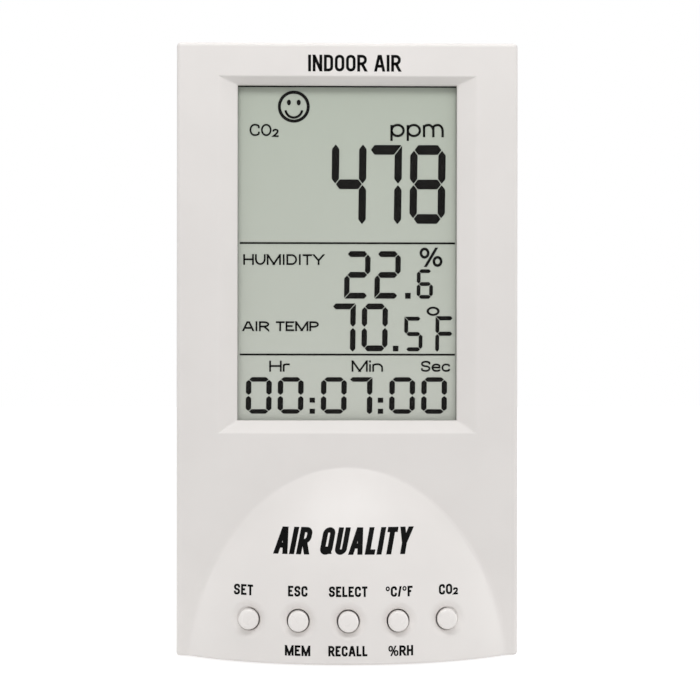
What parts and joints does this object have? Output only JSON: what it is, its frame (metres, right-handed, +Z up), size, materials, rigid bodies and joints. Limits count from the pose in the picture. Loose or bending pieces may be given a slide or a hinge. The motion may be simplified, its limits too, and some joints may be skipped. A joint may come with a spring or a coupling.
{
  "type": "carbon dioxide monitor",
  "caption": "Upright desktop air monitor: white casing with a large segment display, a bulging dome with push buttons, rear vents and a fold-out foot.",
  "frame": {"origin": "middle of the footprint, on the table under the rubber pads", "axes": "+X to the right seen from the front, +Y to the back (the display faces -Y), +Z up"},
  "size_m": [0.1106, 0.0529, 0.1991],
  "materials": {
    "casing_white": "semi-gloss moulded ABS",
    "button_white": "glossy moulded ABS",
    "clear_window": "clear polished acrylic",
    "lcd_glass": "grey-green reflective liquid crystal glass",
    "lcd_foil": "satin reflector foil",
    "holder_grey": "moulded",
    "contact_rubber": "silicone",
    "board_green": "glass-fibre board with solder mask",
    "board_blue": "glass-fibre board with solder mask",
    "chip_black": "moulded",
    "capacitor_sleeve": "shrink sleeve",
    "connector_cream": "nylon",
    "cell_steel": "satin",
    "chamber_gold": "gold plated",
    "lamp_metal": "satin",
    "detector_metal": "satin",
    "filter_white": "porous membrane",
    "humidity_white": "slotted cap",
    "ribbon_grey": "flat cable",
    "wire_insulation": "insulation",
    "jack_black": "moulded",
    "contact_metal": "nickel plated",
    "screw_steel": "zinc plated",
    "pin_steel": "ground",
    "rubber_black": "matte",
    "label_silver": "satin film",
    "plunger_red": "moulded"
  },
  "bodies": {
    "case": {"front_cover": "casing_white", "rear_cover": "casing_white", "display_window": "clear_window", "lcd_panel": "lcd_glass", "lcd_reflector": "lcd_foil", "lcd_holder": "holder_grey", "contact_strips": "contact_rubber", "main_board": "board_green", "key_board": "board_green", "humidity_board": "board_green", "sensor_board": "board_blue", "main_chips": "chip_black", "cell_holder": "chip_black", "buzzer": "chip_black", "sensor_header": "chip_black", "key_switches": "chip_black", "capacitors": "capacitor_sleeve", "board_connectors": "connector_cream", "backup_cell": "cell_steel", "gas_chamber": "chamber_gold", "infrared_lamp": "lamp_metal", "infrared_detector": "detector_metal", "gas_filter": "filter_white", "humidity_element": "humidity_white", "key_ribbon": "ribbon_grey", "power_wires": "wire_insulation", "dc_jack": "jack_black", "dc_jack_contact": "contact_metal", "case_screws": "screw_steel", "board_screws": "screw_steel", "key_screws": "screw_steel", "foot_pin": "pin_steel", "rubber_feet": "rubber_black", "rating_label": "label_silver"},
    "set_button": {"button_set": "button_white", "plunger_set": "plunger_red"},
    "esc_button": {"button_esc": "button_white", "plunger_esc": "plunger_red"},
    "select_button": {"button_select": "button_white", "plunger_select": "plunger_red"},
    "units_button": {"button_units": "button_white", "plunger_units": "plunger_red"},
    "co2_button": {"button_co2": "button_white", "plunger_co2": "plunger_red"},
    "foot": {"rear_foot": "casing_white", "foot_pads": "rubber_black"}
  },
  "joints": [
    {"name": "set_press", "type": "slide", "parent": "case", "child": "set_button", "axis": [0, 1, 0], "range_m": [0, 0.001], "stiffness_N_per_m": 80},
    {"name": "esc_press", "type": "slide", "parent": "case", "child": "esc_button", "axis": [0, 1, 0], "range_m": [0, 0.001], "stiffness_N_per_m": 80},
    {"name": "select_press", "type": "slide", "parent": "case", "child": "select_button", "axis": [0, 1, 0], "range_m": [0, 0.001], "stiffness_N_per_m": 80},
    {"name": "units_press", "type": "slide", "parent": "case", "child": "units_button", "axis": [0, 1, 0], "range_m": [0, 0.001], "stiffness_N_per_m": 80},
    {"name": "co2_press", "type": "slide", "parent": "case", "child": "co2_button", "axis": [0, 1, 0], "range_m": [0, 0.001], "stiffness_N_per_m": 80},
    {"name": "foot_fold", "type": "hinge", "parent": "case", "child": "foot", "pos_m": [0, 0.0241, 0.0034], "axis": [-1, 0, 0], "range_deg": [0, 92]}
  ]
}
